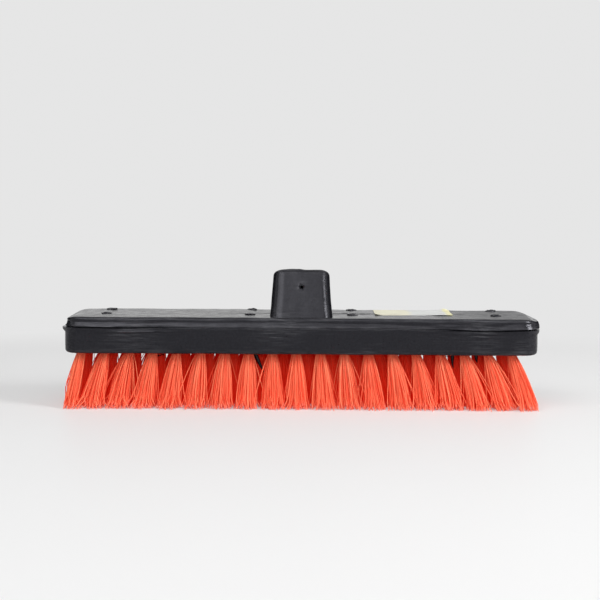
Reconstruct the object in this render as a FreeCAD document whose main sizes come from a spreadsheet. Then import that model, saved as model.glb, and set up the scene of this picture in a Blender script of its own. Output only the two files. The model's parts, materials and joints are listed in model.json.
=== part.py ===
"""Floor scrub brush head: a moulded block with a leaning handle socket, leaning tufts, wire anchors, a label.

X runs along the block, -Y is the front, Z is up. The origin is on the floor under the middle of the brush.
"""
import FreeCAD
import Part
import math
import os
import Sketcher

# Millimetres, degrees and counts.
SIZES = {
    # Block, from the underside up: lower section, seam groove, shoulder, top plate
    "block_length": 303.6,
    "block_depth": 60,
    "block_corner_radius": 10,
    "lower_height": 16.2,
    "seam_height": 0.6,
    "seam_inset": 0.7,
    "shoulder_height": 2.8,
    "shoulder_base_inset": 0.2,
    "plate_side_inset": 1.6,
    "plate_end_inset": 0.8,
    "plate_corner_radius": 11,
    "plate_height": 3.7,
    "plate_edge_radius": 1.8,
    "underside_edge_radius": 3,
    # Handle socket, leaning to the back
    "socket_height": 30.7,
    "socket_tilt": 25,
    "socket_front_inset": 3,
    "socket_base_width": 40.6,
    "socket_base_depth": 41,
    "socket_base_radius": 8,
    "socket_root": 2,
    "socket_side_wall": 6.4,
    "socket_front_wall": 5.5,
    "socket_mouth_radius": 7,
    "socket_edge_radius": 3,
    "bore_diameter": 23,
    "bore_floor": 2.7,
    "bore_chamfer": 1,
    # Hole in the front of the socket for the handle's screw
    "screw_hole_diameter": 2,
    "screw_hole_drop": 12.8,
    "screw_hole_chamfer": 0.7,
    # Raised rings left by the mould's ejector pins
    "mark_diameter": 7.4,
    "mark_rim": 0.9,
    "mark_height": 0.5,
    "mark_recess": 0.5,
    "mark_socket_gap": 13,
    "mark_end_margin": 25.2,
    "mark_front_margin": 24,
    "mark_back_margin": 7.2,
    # Label glued to the top
    "label_length": 50.5,
    "label_depth": 32,
    "label_thickness": 0.2,
    "label_corner_radius": 2,
    "label_end_margin": 53.3,
    "label_back_margin": 5,
    # Tufts and the holes that they stand in
    "odd_row_tuft_count": 19,
    "even_row_tuft_count": 18,
    "bristle_length": 35.8,
    "hole_diameter": 6,
    "hole_depth": 12,
    "hole_overrun": 2,
    "tuft_clearance": 0.1,
    "left_margin": 10.2,
    "right_margin": 16.5,
    "second_row_left_inset": 3.5,
    "second_row_right_inset": 6.3,
    "fourth_row_left_inset": 12.3,
    "fourth_row_right_inset": 3.1,
    "row_margin": 10,
    "fan_share": 0.07,
    "fan_offset": 25,
    "tip_overhang": 1.2,
    "tip_side_inset": 0.5,
    "tip_gap": 1.2,
    # Wire anchor through the fold of each tuft
    "anchor_height": 2.4,
    "anchor_thickness": 0.5,
    "anchor_bite": 0.4,
    "anchor_clearance": 0.05,
    "fold_thickness": 1.6,
}
ROWS = ("front", "second", "middle", "fourth", "back")
SECTIONS = ("left", "middle", "right")
SAME_PLACE = 1e-4  # how near two places on one edge or face are
# The sketcher's numbers for the points of a curve, and for a sketch's own origin
START, END, CENTRE = range(1, 4)
ORIGIN = (-1, START)

doc = FreeCAD.newDocument("scrub_brush")
sheet = doc.addObject("Spreadsheet::Sheet", "sizes")
for line, (name, value) in enumerate(SIZES.items(), start=1):
    sheet.set(f"A{line}", name)
    sheet.set(f"B{line}", str(value))
    sheet.setAlias(f"B{line}", name)
doc.recompute()


def number(expression):
    """What an expression of the sheet's sizes comes to now."""
    return float(sheet.evalExpression(expression))


def bind(thing, **sizes):
    """Binds properties of an object to expressions."""
    for size, expression in sizes.items():
        thing.setExpression(size, expression)


# Levels and places, as expressions of the sizes
UNDERSIDE = "sizes.bristle_length"
SEAM = f"{UNDERSIDE} + sizes.lower_height"
SHOULDER = f"{SEAM} + sizes.seam_height"
PLATE = f"{SHOULDER} + sizes.shoulder_height"
TOP = f"{PLATE} + sizes.plate_height"
MOUTH_WIDTH = "(sizes.bore_diameter + 2 * sizes.socket_side_wall)"
MOUTH_DEPTH = "(sizes.bore_diameter + 2 * sizes.socket_front_wall)"
LEAN_SIN = "sin(sizes.socket_tilt * 1 deg)"
LEAN_COS = "cos(sizes.socket_tilt * 1 deg)"
SOCKET_Y = "(-sizes.block_depth / 2 + sizes.socket_front_inset + sizes.socket_base_depth / 2)"
MOUTH_RISE = f"(sizes.socket_height - {LEAN_SIN} * {MOUTH_DEPTH} / 2)"
MOUTH_Y = f"({SOCKET_Y} + {MOUTH_RISE} * {LEAN_SIN} / {LEAN_COS})"
MOUTH_Z = f"({TOP} + {MOUTH_RISE})"
BORE_LOWEST = f"({UNDERSIDE} + sizes.hole_depth + sizes.bore_floor)"
BORE_DEPTH = f"(({MOUTH_Z} - {LEAN_SIN} * sizes.bore_diameter / 2 - {BORE_LOWEST}) / {LEAN_COS})"


def sketch_on(body, label, role, y="0", z="0", tilt=None):
    """A sketch on one of the body's origin planes, moved to (y, z) and leaning back by tilt."""
    sketch = body.newObject("Sketcher::SketchObject", label)
    plane = next(face for face in body.Origin.OriginFeatures if face.Role == role)
    sketch.AttachmentSupport = (plane, [""])
    sketch.MapMode = "FlatFace"
    across, out = (y, z) if role == "XY_Plane" else (z, f"-({y})")
    sketch.setExpression("AttachmentOffset.Base.y", across)
    sketch.setExpression("AttachmentOffset.Base.z", out)
    if tilt:
        sketch.AttachmentOffset.Rotation = FreeCAD.Rotation(FreeCAD.Vector(1, 0, 0), -number(tilt))
        sketch.setExpression("AttachmentOffset.Rotation.Roll", f"-({tilt})")
    return sketch


def name_last(sketch, label, expression):
    """Names the newest constraint of a sketch and binds it."""
    sketch.renameConstraint(sketch.ConstraintCount - 1, label)
    sketch.setExpression(f"Constraints.{label}", expression)


def rounded_rectangle(sketch, width, depth, radius):
    """Draws a rectangle with round corners about the sketch's origin."""
    half_width = number(width) / 2
    half_depth = number(depth) / 2
    bend = number(radius)
    inner_x = half_width - bend
    inner_y = half_depth - bend
    up = FreeCAD.Vector(0, 0, 1)

    def side(start, end):
        sketch.addGeometry(Part.LineSegment(FreeCAD.Vector(*start), FreeCAD.Vector(*end)))

    def corner(x, y, start, end):
        circle = Part.Circle(FreeCAD.Vector(x, y), up, bend)
        sketch.addGeometry(Part.ArcOfCircle(circle, math.radians(start), math.radians(end)))

    side((-inner_x, -half_depth), (inner_x, -half_depth))
    corner(inner_x, -inner_y, -90, 0)
    side((half_width, -inner_y), (half_width, inner_y))
    corner(inner_x, inner_y, 0, 90)
    side((inner_x, half_depth), (-inner_x, half_depth))
    corner(-inner_x, inner_y, 90, 180)
    side((-half_width, inner_y), (-half_width, -inner_y))
    corner(-inner_x, -inner_y, 180, 270)
    front, first_corner, right, second_corner, back, third_corner, left, fourth_corner = range(8)
    for piece in range(front, fourth_corner + 1):
        follower = (piece + 1) % (fourth_corner + 1)
        sketch.addConstraint(Sketcher.Constraint("Tangent", piece, END, follower, START))
    for line in (front, back):
        sketch.addConstraint(Sketcher.Constraint("Horizontal", line))
    for line in (right, left):
        sketch.addConstraint(Sketcher.Constraint("Vertical", line))
    for arc in (second_corner, third_corner, fourth_corner):
        sketch.addConstraint(Sketcher.Constraint("Equal", first_corner, arc))
    opposite = (first_corner, CENTRE, third_corner, CENTRE)
    sketch.addConstraint(Sketcher.Constraint("Symmetric", *opposite, *ORIGIN))
    sketch.addConstraint(Sketcher.Constraint("DistanceX", left, START, right, START, 2 * half_width))
    name_last(sketch, "width", width)
    sketch.addConstraint(Sketcher.Constraint("DistanceY", front, START, back, START, 2 * half_depth))
    name_last(sketch, "depth", depth)
    sketch.addConstraint(Sketcher.Constraint("Radius", first_corner, bend))
    name_last(sketch, "radius", radius)


def circles(sketch, diameter, places):
    """Draws one circle at each (x, y) pair of expressions."""
    for index, (x, y) in enumerate(places):
        across = number(x)
        along = number(y)
        wide = number(diameter)
        circle = Part.Circle(FreeCAD.Vector(across, along), FreeCAD.Vector(0, 0, 1), wide / 2)
        sketch.addGeometry(circle)
        sketch.addConstraint(Sketcher.Constraint("Diameter", index, wide))
        name_last(sketch, f"diameter_{index}", diameter)
        sketch.addConstraint(Sketcher.Constraint("DistanceX", *ORIGIN, index, CENTRE, across))
        name_last(sketch, f"x_{index}", x)
        sketch.addConstraint(Sketcher.Constraint("DistanceY", *ORIGIN, index, CENTRE, along))
        name_last(sketch, f"y_{index}", y)


def extrude(body, kind, label, sketch, length, reverse=False):
    """Pads or pockets a sketch."""
    feature = body.newObject(f"PartDesign::{kind}", label)
    feature.Profile = sketch
    feature.Reversed = reverse
    bind(feature, Length=length)
    doc.recompute()
    return feature


def loft(body, label, sketches):
    """Joins two outlines with straight walls."""
    feature = body.newObject("PartDesign::AdditiveLoft", label)
    feature.Profile = sketches[0]
    feature.Sections = sketches[1:]
    feature.Ruled = True
    doc.recompute()
    return feature


def edges_where(feature, holds):
    """Names of the edges whose every vertex passes a test."""
    edges = enumerate(feature.Shape.Edges, start=1)
    return [f"Edge{index}" for index, edge in edges if all(holds(corner.Point) for corner in edge.Vertexes)]


def ease(body, kind, label, base, edges, size, expression):
    """Rounds or bevels edges of the newest feature."""
    feature = body.newObject(f"PartDesign::{kind}", label)
    feature.Base = (base, edges)
    feature.setExpression(size, expression)
    doc.recompute()
    return feature


def block_outline(label, z, by="0"):
    """The block's plan outline at one level, drawn in alike all round."""
    sketch = sketch_on(moulding, label, "XY_Plane", z=z)
    rounded_rectangle(sketch, f"sizes.block_length - 2 * {by}", f"sizes.block_depth - 2 * {by}",
                      f"sizes.block_corner_radius - {by}")
    return sketch


def plate_outline(label, z):
    """The top plate's plan outline, which is drawn in less at the ends and has rounder corners."""
    sketch = sketch_on(moulding, label, "XY_Plane", z=z)
    rounded_rectangle(sketch, "sizes.block_length - 2 * sizes.plate_end_inset",
                      "sizes.block_depth - 2 * sizes.plate_side_inset", "sizes.plate_corner_radius")
    return sketch


# Block moulding: four stacked sections
moulding = doc.addObject("PartDesign::Body", "block_moulding")
lower_outline = block_outline("lower_outline", UNDERSIDE)
lower = extrude(moulding, "Pad", "lower_section", lower_outline, "sizes.lower_height")
rim = edges_where(lower, lambda point: abs(point.z - number(UNDERSIDE)) < SAME_PLACE)
ease(moulding, "Fillet", "underside_edge", lower, rim, "Radius", "sizes.underside_edge_radius")
extrude(moulding, "Pad", "seam", block_outline("seam_outline", SEAM, "sizes.seam_inset"), "sizes.seam_height")
loft(moulding, "shoulder", [block_outline("shoulder_outline", SHOULDER, "sizes.shoulder_base_inset"),
                            plate_outline("shoulder_top_outline", PLATE)])
plate = extrude(moulding, "Pad", "plate", plate_outline("plate_outline", PLATE), "sizes.plate_height")
rim = edges_where(plate, lambda point: abs(point.z - number(TOP)) < SAME_PLACE)
ease(moulding, "Fillet", "plate_edge", plate, rim, "Radius", "sizes.plate_edge_radius")

# Handle socket: from a level outline in the plate to a leaning mouth, rounded at the mouth, bored blind
socket_base = sketch_on(moulding, "socket_base_outline", "XY_Plane", SOCKET_Y, f"{TOP} - sizes.socket_root")
rounded_rectangle(socket_base, "sizes.socket_base_width", "sizes.socket_base_depth",
                  "sizes.socket_base_radius")
mouth = sketch_on(moulding, "mouth_outline", "XY_Plane", MOUTH_Y, MOUTH_Z, "sizes.socket_tilt")
rounded_rectangle(mouth, MOUTH_WIDTH, MOUTH_DEPTH, "sizes.socket_mouth_radius")
socket = loft(moulding, "socket", [socket_base, mouth])
mouth_frame = FreeCAD.Placement(mouth.Placement)
mouth_axis = mouth_frame.Rotation.multVec(FreeCAD.Vector(0, 0, 1))


def at_mouth(point):
    """Whether a point is in the plane of the socket's mouth."""
    return abs((point - mouth_frame.Base).dot(mouth_axis)) < SAME_PLACE


mouth_edge = ease(moulding, "Fillet", "mouth_edge", socket, edges_where(socket, at_mouth),
                  "Radius", "sizes.socket_edge_radius")
bore_outline = sketch_on(moulding, "bore_outline", "XY_Plane", MOUTH_Y, MOUTH_Z, "sizes.socket_tilt")
circles(bore_outline, "sizes.bore_diameter", [("0", "0")])
bore = extrude(moulding, "Pocket", "bore", bore_outline, BORE_DEPTH)


def at_bore_lip(point):
    """Whether a point is on the sharp edge of the bore."""
    from_axis = (point - mouth_frame.Base).Length
    return at_mouth(point) and abs(from_axis - number("sizes.bore_diameter / 2")) < SAME_PLACE


ease(moulding, "Chamfer", "bore_lip", bore, edges_where(bore, at_bore_lip), "Size", "sizes.bore_chamfer")

# Screw hole: square to the bore, from its axis out through the front wall
HOLE_Y = f"({MOUTH_Y} - sizes.screw_hole_drop * {LEAN_SIN})"
HOLE_Z = f"({MOUTH_Z} - sizes.screw_hole_drop * {LEAN_COS})"
screw_outline = sketch_on(moulding, "screw_hole_outline", "XZ_Plane", HOLE_Y, HOLE_Z, "sizes.socket_tilt")
circles(screw_outline, "sizes.screw_hole_diameter", [("0", "0")])
screw_hole = extrude(moulding, "Pocket", "screw_hole", screw_outline, "sizes.socket_base_depth", reverse=True)
hole_frame = FreeCAD.Placement(screw_outline.Placement)


def at_screw_mouth(point):
    """Whether a point is where the screw hole leaves the front wall."""
    place = hole_frame.inverse().multVec(point)
    beside = number("sizes.screw_hole_diameter")
    return place.z > number(f"{MOUTH_DEPTH} / 2") - beside and abs(place.x) < beside and abs(place.y) < beside


ease(moulding, "Chamfer", "screw_hole_lip", screw_hole, edges_where(screw_hole, at_screw_mouth),
     "Size", "sizes.screw_hole_chamfer")

# Ejector marks: eight raised rings with a sunk middle
mark_columns = ("sizes.socket_base_width / 2 + sizes.mark_socket_gap",
                "sizes.block_length / 2 - sizes.mark_end_margin")
mark_rows = ("-sizes.block_depth / 2 + sizes.mark_front_margin",
             "sizes.block_depth / 2 - sizes.mark_back_margin")
mark_places = [(f"{side} * ({column})", row)
               for column in mark_columns for side in (-1, 1) for row in mark_rows]
ring_outlines = sketch_on(moulding, "mark_outlines", "XY_Plane", z=TOP)
circles(ring_outlines, "sizes.mark_diameter", mark_places)
extrude(moulding, "Pad", "mark_rings", ring_outlines, "sizes.mark_height")
recess_outlines = sketch_on(moulding, "mark_recess_outlines", "XY_Plane", z=f"{TOP} + sizes.mark_height")
circles(recess_outlines, "sizes.mark_diameter - 2 * sizes.mark_rim", mark_places)
extrude(moulding, "Pocket", "mark_recesses", recess_outlines, "sizes.mark_height + sizes.mark_recess")

# Label: a thin rounded sheet on the top face, behind the middle and to the right
label = doc.addObject("PartDesign::Body", "label")
label_outline = sketch_on(label, "label_outline", "XY_Plane",
                          "sizes.block_depth / 2 - sizes.label_back_margin - sizes.label_depth / 2", TOP)
label_outline.setExpression("AttachmentOffset.Base.x",
                            "sizes.block_length / 2 - sizes.label_end_margin - sizes.label_length / 2")
rounded_rectangle(label_outline, "sizes.label_length", "sizes.label_depth", "sizes.label_corner_radius")
extrude(label, "Pad", "label_sheet", label_outline, "sizes.label_thickness")

# Tufts: the roots are evenly spaced, and the tips fan out from a middle to the left of the block's own
TIP_FIELD_LENGTH = "(sizes.block_length + 2 * sizes.tip_overhang)"
TIP_FIELD_DEPTH = "(sizes.block_depth - 2 * sizes.tip_side_inset)"
TUFT_RADIUS = "(sizes.hole_diameter / 2 - sizes.tuft_clearance)"
TUFT_ROOT = "(sizes.hole_depth - sizes.tuft_clearance)"
ANCHOR_LENGTH = "(sizes.hole_diameter + 2 * sizes.anchor_bite)"
ANCHOR_BASE = f"({TUFT_ROOT} - sizes.fold_thickness - sizes.anchor_height)"
ROW_INSETS = {"second": ("sizes.second_row_left_inset", "sizes.second_row_right_inset"),
              "fourth": ("sizes.fourth_row_left_inset", "sizes.fourth_row_right_inset")}


def tuft_along(row, index, count):
    """Root, tip middle and half the tip's width of one tuft along its row, as expressions."""
    left_inset, right_inset = ROW_INSETS.get(row, ("0", "0"))
    left = f"(sizes.left_margin + {left_inset})"
    right = f"(sizes.right_margin + {right_inset})"
    pitch = f"((sizes.block_length - {left} - {right}) / {count - 1})"
    root = f"(-sizes.block_length / 2 + {left} + {index} * {pitch})"
    fanned = f"({root} + sizes.fan_share * ({root} + sizes.fan_offset))"
    reach = f"(((1 + sizes.fan_share) * {pitch} - sizes.tip_gap) / 2)"
    low = f"max({fanned} - {reach}; -{TIP_FIELD_LENGTH} / 2)"
    high = f"min({fanned} + {reach}; {TIP_FIELD_LENGTH} / 2)"
    return root, f"(({low} + {high}) / 2)", f"(({high} - {low}) / 2)"


def tuft_across(row):
    """Root, tip middle and half the tip's depth of the tufts of one row across the block, as expressions."""
    share = f"({row} / {len(ROWS) - 1} - 1 / 2)"
    depth = f"(({TIP_FIELD_DEPTH} - {len(ROWS) - 1} * sizes.tip_gap) / {len(ROWS)})"
    root = f"((sizes.block_depth - 2 * sizes.row_margin) * {share})"
    return root, f"(({TIP_FIELD_DEPTH} - {depth}) * {share})", f"({depth} / 2)"


def hole_place(root, tip):
    """The placement at the mouth of a hole, with its Z axis up the hole."""
    lean_x = f"({root[0]} - {tip[0]})"
    lean_y = f"({root[1]} - {tip[1]})"
    reach = f"sqrt({lean_x} ^ 2 + {lean_y} ^ 2 + sizes.bristle_length ^ 2)"
    turn = f"rotation(0; atan2({lean_x}; sizes.bristle_length); -asin({lean_y} / {reach}))"
    return f"placement(vector({root[0]}; {root[1]}; {UNDERSIDE}); {turn})"


def shifted(place, x="0", y="0", z="0"):
    """A placement moved along its own axes."""
    return f"{place} * placement(vector({x}; {y}; {z}); rotation(0; 0; 0))"


def flat_wire(label, place, grow):
    """A box of the anchor's size, grown on every side, across the hole in the fold of the tuft."""
    wire = doc.addObject("Part::Box", label)
    length = f"({ANCHOR_LENGTH} + 2 * {grow})"
    thickness = f"(sizes.anchor_thickness + 2 * {grow})"
    bind(wire, Length=length, Width=thickness, Height=f"sizes.anchor_height + 2 * {grow}",
         Placement=shifted(place, f"-{length} / 2", f"-{thickness} / 2", f"{ANCHOR_BASE} - {grow}"))
    return wire


def ring(label, place):
    """The outline of a tuft inside its hole."""
    circle = doc.addObject("Part::Circle", label)
    bind(circle, Radius=TUFT_RADIUS, Placement=place)
    return circle


drills = []
anchors = {row: [] for row in ROWS}
tufts = {(row, section): [] for row in ROWS for section in SECTIONS}
for row_index, row in enumerate(ROWS):
    tufts_here = "sizes.even_row_tuft_count" if row_index % 2 else "sizes.odd_row_tuft_count"
    tuft_count = round(number(tufts_here))
    for tuft_index in range(tuft_count):
        tag = f"{row}_{tuft_index + 1}"
        root_x, tip_x, tip_half_width = tuft_along(row, tuft_index, tuft_count)
        root_y, tip_y, tip_half_depth = tuft_across(row_index)
        place = hole_place((root_x, root_y), (tip_x, tip_y))
        drill = doc.addObject("Part::Cylinder", f"drill_{tag}")
        bind(drill, Radius="sizes.hole_diameter / 2", Height="sizes.hole_depth + sizes.hole_overrun",
             Placement=shifted(place, z="-sizes.hole_overrun"))
        drills.append(drill)
        anchors[row].append(flat_wire(f"anchor_{tag}", place, "0"))
        tip = doc.addObject("Part::Ellipse", f"tip_{tag}")
        tip_at = f"placement(vector({tip_x}; {tip_y}; 0); rotation(0; 0; 0))"
        longer_half = f"max({tip_half_width}; {tip_half_depth})"
        bind(tip, MajorRadius=longer_half, MinorRadius=tip_half_depth, Placement=tip_at)
        bundle = doc.addObject("Part::Loft", f"bundle_{tag}")
        bundle.Sections = [ring(f"fold_{tag}", shifted(place, z=TUFT_ROOT)), ring(f"neck_{tag}", place), tip]
        bundle.Solid = True
        bundle.Ruled = True
        tuft = doc.addObject("Part::Cut", f"tuft_{tag}")
        tuft.Base = bundle
        tuft.Tool = flat_wire(f"slot_{tag}", place, "sizes.anchor_clearance")
        section = SECTIONS[(2 * tuft_index + 1) * len(SECTIONS) // (2 * tuft_count)]
        tufts[row, section].append(tuft)


def group(label, members):
    """A named group of separate solids."""
    compound = doc.addObject("Part::Compound", label)
    compound.Links = members
    return compound


sub_parts = [label]
for row in ROWS:
    sub_parts.append(group(f"{row}_row_anchors", anchors[row]))
    for section in SECTIONS:
        sub_parts.append(group(f"{row}_row_{section}_tufts", tufts[row, section]))
block = doc.addObject("Part::Cut", "block")
block.Base = moulding
block.Tool = group("drills", drills)
sub_parts.append(block)
doc.recompute()

for thing in doc.Objects:
    if "Invalid" in thing.State or "Error" in thing.State:
        raise RuntimeError(f"{thing.Label}: {thing.State}")
os.makedirs("parts", exist_ok=True)
for sub_part in sub_parts:
    shape = sub_part.Shape
    if shape.isNull() or not shape.isValid() or not shape.Solids:
        raise RuntimeError(f"{sub_part.Label} has no valid solid")
    shape.exportStep(f"parts/{sub_part.Label}.step")
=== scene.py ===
import bmesh
import bpy
import json
import math
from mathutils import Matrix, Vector, noise


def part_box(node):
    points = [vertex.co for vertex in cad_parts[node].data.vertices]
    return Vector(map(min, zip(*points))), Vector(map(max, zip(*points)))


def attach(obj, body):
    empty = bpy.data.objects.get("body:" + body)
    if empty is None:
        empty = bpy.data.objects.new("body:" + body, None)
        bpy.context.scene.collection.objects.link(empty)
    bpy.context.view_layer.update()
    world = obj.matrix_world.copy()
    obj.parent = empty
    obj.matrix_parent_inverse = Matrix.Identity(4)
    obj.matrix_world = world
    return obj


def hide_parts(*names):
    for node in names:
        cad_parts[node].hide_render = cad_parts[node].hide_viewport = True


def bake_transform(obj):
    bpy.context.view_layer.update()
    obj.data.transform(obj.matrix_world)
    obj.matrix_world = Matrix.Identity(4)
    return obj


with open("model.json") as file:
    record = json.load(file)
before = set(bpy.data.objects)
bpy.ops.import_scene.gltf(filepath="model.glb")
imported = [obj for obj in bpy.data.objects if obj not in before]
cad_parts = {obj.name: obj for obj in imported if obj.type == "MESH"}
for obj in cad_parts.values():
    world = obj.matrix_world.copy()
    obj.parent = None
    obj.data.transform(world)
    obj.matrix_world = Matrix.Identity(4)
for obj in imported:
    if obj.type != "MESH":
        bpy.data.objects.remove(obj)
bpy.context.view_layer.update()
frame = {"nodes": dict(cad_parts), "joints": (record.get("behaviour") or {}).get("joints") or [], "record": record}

# Block: the slab that carries everything, one moulding of recycled black plastic, 304 by 60 mm.
# Its mould closed badly, so the parting line is a ragged groove that gapes at the ends, with flash beside it.
# The handle socket is part of the same moulding and leans to the back, and the tufts' holes are drilled.
block_low, block_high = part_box("block")
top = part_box("label")[0].z
underside = block_low.z
half_length = block_high.x
half_depth = block_high.y
block_corner = 0.010
underside_round = 0.002
seam_level = underside + 0.0162
seam_width = 0.0011
seam_depth = 0.0016
shoulder_rise = 0.0027
shoulder_inset = 0.0002
plate_end_inset = 0.0008
plate_side_inset = 0.0016
plate_corner = 0.011
plate_round = 0.0018
end_drop = 0.0017
end_drop_reach = 0.0042
spine_half_width = 0.003
least_corner = 0.002
slab_steps = (170, 30, 12)
# Unevenness as (wavelength, height), and local swellings as ((x, y), height, spread)
skin_waves = ((0.024, 0.00034), (0.007, 0.00011))
ledge_wave = (0.028, 0.00055)
flash_nubs = (((-half_length, -0.018), 0.0018, 0.0036), ((half_length, -0.016), 0.0014, 0.009),
              ((half_length, 0.021), 0.0012, 0.004), ((-0.060, half_depth), 0.0006, 0.012))
end_swells = (((half_length, -0.012), 0.0018, 0.018), ((half_length, half_depth), -0.0035, 0.016),
              ((-half_length + 0.002, half_depth - 0.002), -0.0045, 0.014), ((-half_length, 0.018), -0.0022, 0.026))
ledge_fills = (((0.100, -half_depth), 0.0011, 0.050),)
seam_sags = (((0.117, -half_depth), 0.0010, 0.022), ((-0.085, half_depth), 0.0012, 0.022))
creases = (((-0.106, -half_depth), 0.0006, 0.020), ((0.110, -half_depth), 0.0003, 0.016))


def rounded_loop(half_x, half_y, corner, steps):
    """Places round a rectangle with round corners, each with the way out, anticlockwise from its front left."""
    along_x, along_y, around = steps
    inner_x = half_x - corner
    inner_y = half_y - corner
    corners = ((-inner_x, -inner_y), (inner_x, -inner_y), (inner_x, inner_y), (-inner_x, inner_y))
    loop = []
    for side, along in enumerate((along_x, along_y, along_x, along_y)):
        start = Vector(corners[side])
        end = Vector(corners[(side + 1) % len(corners)])
        facing = (side - 1) * math.pi / 2
        loop += [(start.lerp(end, step / along), facing) for step in range(along)]
        loop += [(end, facing + step / around * math.pi / 2) for step in range(around)]
    ways = [(place, Vector((math.cos(turn), math.sin(turn)))) for place, turn in loop]
    return [(place + corner * out, out) for place, out in ways]


def linked(name, data):
    """An object with a mesh, in the scene."""
    made = bpy.data.objects.new(name, data)
    bpy.context.collection.objects.link(made)
    return made


def skin(name, *solids):
    """A mesh object of closed solids, each stretched over rings of points and closed across its two end rings."""
    mesh = bmesh.new()
    for rings in solids:
        loops = [[mesh.verts.new(point) for point in ring] for ring in rings]
        for lower, upper in zip(loops, loops[1:]):
            for index, corner in enumerate(lower):
                beside = (index + 1) % len(lower)
                mesh.faces.new((corner, lower[beside], upper[beside], upper[index]))
        ends = [mesh.faces.new(reversed(loops[0])), mesh.faces.new(loops[-1])]
        bmesh.ops.triangulate(mesh, faces=ends)
    data = bpy.data.meshes.new(name)
    mesh.to_mesh(data)
    mesh.free()
    return linked(name, data)


def bumps(place, table):
    """Height of a table of local swellings at a place in plan."""
    return sum(height * math.exp(-((place - Vector(middle)).length / spread) ** 2)
               for middle, height, spread in table)


def swollen(point):
    """A point of the moulding, moved by the unevenness of its skin."""
    moved = point.copy()
    for wave, height in skin_waves:
        moved += height * noise.noise_vector(point / wave)
    return moved


def seam_opening(place):
    """How far open the parting line is, from 0 to 1: gaping at the ends, pressed nearly shut along the middle."""
    from_end = (half_length - abs(place.x)) / half_length
    ragged = noise.noise(Vector((place.x, place.y, 0)) / 0.02)
    return min(1, max(0.2, 1.5 - 2.2 * from_end + 0.4 * ragged))


def slab_level(height, ends=0.0, sides=0.0, corner=block_corner, groove=0.0, lip=0.0, sag=0.0, crease=0.0, waver=0.0,
               swell=0.0, fill=0.0, drop=0.0):
    """One level of the slab: its insets, and its shares of the parting line's and of the plate's unevenness."""
    ring = []
    wave, depth = ledge_wave
    for place, out in rounded_loop(half_length - ends, half_depth - sides, max(corner, least_corner), slab_steps):
        push = lip * bumps(place, flash_nubs) + crease * bumps(place, creases)
        push += swell * bumps(place, end_swells) + fill * bumps(place, ledge_fills)
        push -= groove * seam_depth * seam_opening(place)
        push += waver * depth * noise.noise(Vector((place.x, 0.3 * place.y, height)) / wave)
        place = place + push * out
        from_end = half_length - plate_end_inset - abs(place.x)
        dip = sag * bumps(place, seam_sags) + drop * end_drop * math.exp(-(from_end / end_drop_reach) ** 2)
        ring.append(swollen(Vector((place.x, place.y, height - dip))))
    return ring


def shares(count):
    """Even shares from just above 0 to 1."""
    return [(step + 1) / count for step in range(count)]


slab_rings = []
spine_inset = half_depth - spine_half_width
for share in [0] + shares(6):
    depth = spine_inset + (underside_round - spine_inset) * share
    slab_rings.append(slab_level(underside, depth, depth, block_corner - depth))
for share in shares(6):
    turn = share * math.pi / 2
    depth = underside_round * (1 - math.sin(turn))
    slab_rings.append(slab_level(underside + underside_round * (1 - math.cos(turn)), depth, depth, block_corner - depth))
wall_foot = underside + underside_round
wall_top = seam_level - 0.0032
for share in shares(6):
    slab_rings.append(slab_level(wall_foot + (wall_top - wall_foot) * share))
slab_rings.append(slab_level(seam_level - 0.0027, crease=0.2, lip=0.4, sag=0.3))
slab_rings.append(slab_level(seam_level - 0.0021, crease=1, lip=0.8, sag=0.5))
slab_rings.append(slab_level(seam_level - 0.0013, crease=0.5, lip=1, sag=0.7))
slab_rings.append(slab_level(seam_level - 0.0006, groove=-0.1, lip=1, sag=0.9))
slab_rings.append(slab_level(seam_level, groove=-0.12, lip=0.9, sag=1))
slab_rings.append(slab_level(seam_level + seam_width / 6, groove=0.8, lip=0.6, sag=1))
slab_rings.append(slab_level(seam_level + seam_width / 2, groove=1, lip=0.4, sag=1))
slab_rings.append(slab_level(seam_level + seam_width * 5 / 6, groove=0.8, lip=0.3, sag=1))
shoulder = seam_level + seam_width
slab_rings.append(slab_level(shoulder, shoulder_inset, shoulder_inset, groove=-0.08, lip=0.2, sag=1, swell=0.8))
for share in shares(6):
    inset = Vector((plate_end_inset, plate_side_inset)) * share + Vector((shoulder_inset,) * 2) * (1 - share)
    corner = block_corner + (plate_corner - block_corner) * share
    slab_rings.append(slab_level(shoulder + shoulder_rise * share, *inset, corner, sag=1 - share,
                                 waver=4 * share * (1 - share), swell=1, fill=share))
plate_foot = shoulder + shoulder_rise
plate_wall = top - plate_round - plate_foot
for share in shares(3):
    slab_rings.append(slab_level(plate_foot + plate_wall * share, plate_end_inset, plate_side_inset, plate_corner,
                                 swell=1 - 0.2 * share, fill=1, drop=0.4 * share))
for share in shares(7):
    turn = share * math.pi / 2
    depth = plate_round * (1 - math.cos(turn))
    slab_rings.append(slab_level(top - plate_round * (1 - math.sin(turn)), plate_end_inset + depth,
                                 plate_side_inset + depth, plate_corner - depth, swell=0.8 - 0.3 * share, fill=1,
                                 drop=0.4 + 0.6 * share))
for share in shares(10):
    depth = plate_round + (spine_inset - plate_side_inset - plate_round) * share
    slab_rings.append(slab_level(top, plate_end_inset + depth, plate_side_inset + depth, plate_corner - depth,
                                 swell=0.5 * (1 - share), fill=1 - share, drop=1))
slab = skin("slab", slab_rings)

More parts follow.
